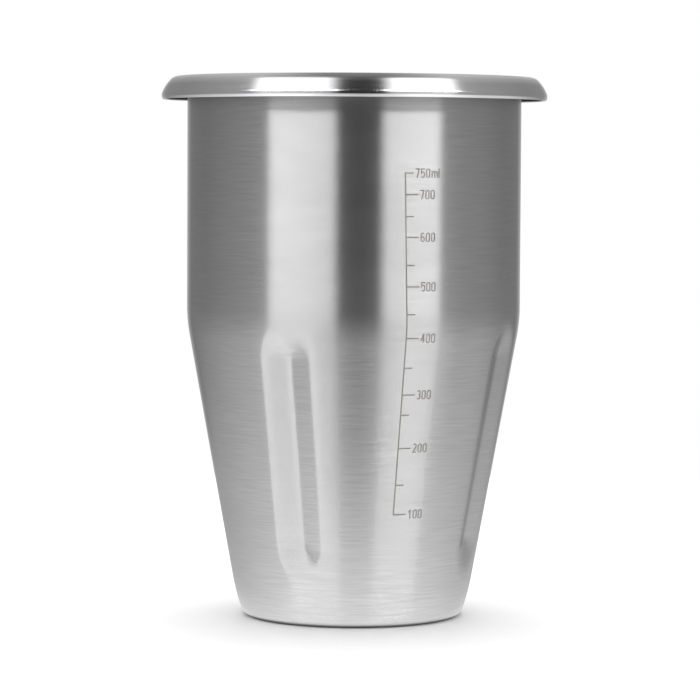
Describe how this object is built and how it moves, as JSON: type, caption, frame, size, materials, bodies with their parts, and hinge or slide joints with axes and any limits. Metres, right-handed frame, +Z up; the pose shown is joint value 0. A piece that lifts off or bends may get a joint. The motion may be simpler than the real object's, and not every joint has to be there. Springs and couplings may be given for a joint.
{
  "type": "steel drink mixing cup",
  "caption": "Tall open steel cup with a straight upper wall, fluted tapered lower wall, turned-down rim and an outside volume scale.",
  "frame": {"origin": "centre of the foot, on the surface that the cup stands on", "axes": "+Z up along the cup's axis, out of its mouth; -Y towards the volume scale"},
  "size_m": [0.1114, 0.1114, 0.156],
  "materials": {
    "steel": "fine brushed stainless steel, polished on the rim",
    "marking": "matt etched marking"
  },
  "bodies": {
    "root": {"cup_shell": "steel", "scale_spine": "marking", "graduation_100_ml": "marking", "graduation_150_ml": "marking", "graduation_200_ml": "marking", "graduation_250_ml": "marking", "graduation_300_ml": "marking", "graduation_350_ml": "marking", "graduation_400_ml": "marking", "graduation_450_ml": "marking", "graduation_500_ml": "marking", "graduation_550_ml": "marking", "graduation_600_ml": "marking", "graduation_650_ml": "marking", "graduation_700_ml": "marking", "graduation_750_ml": "marking"}
  },
  "joints": []
}
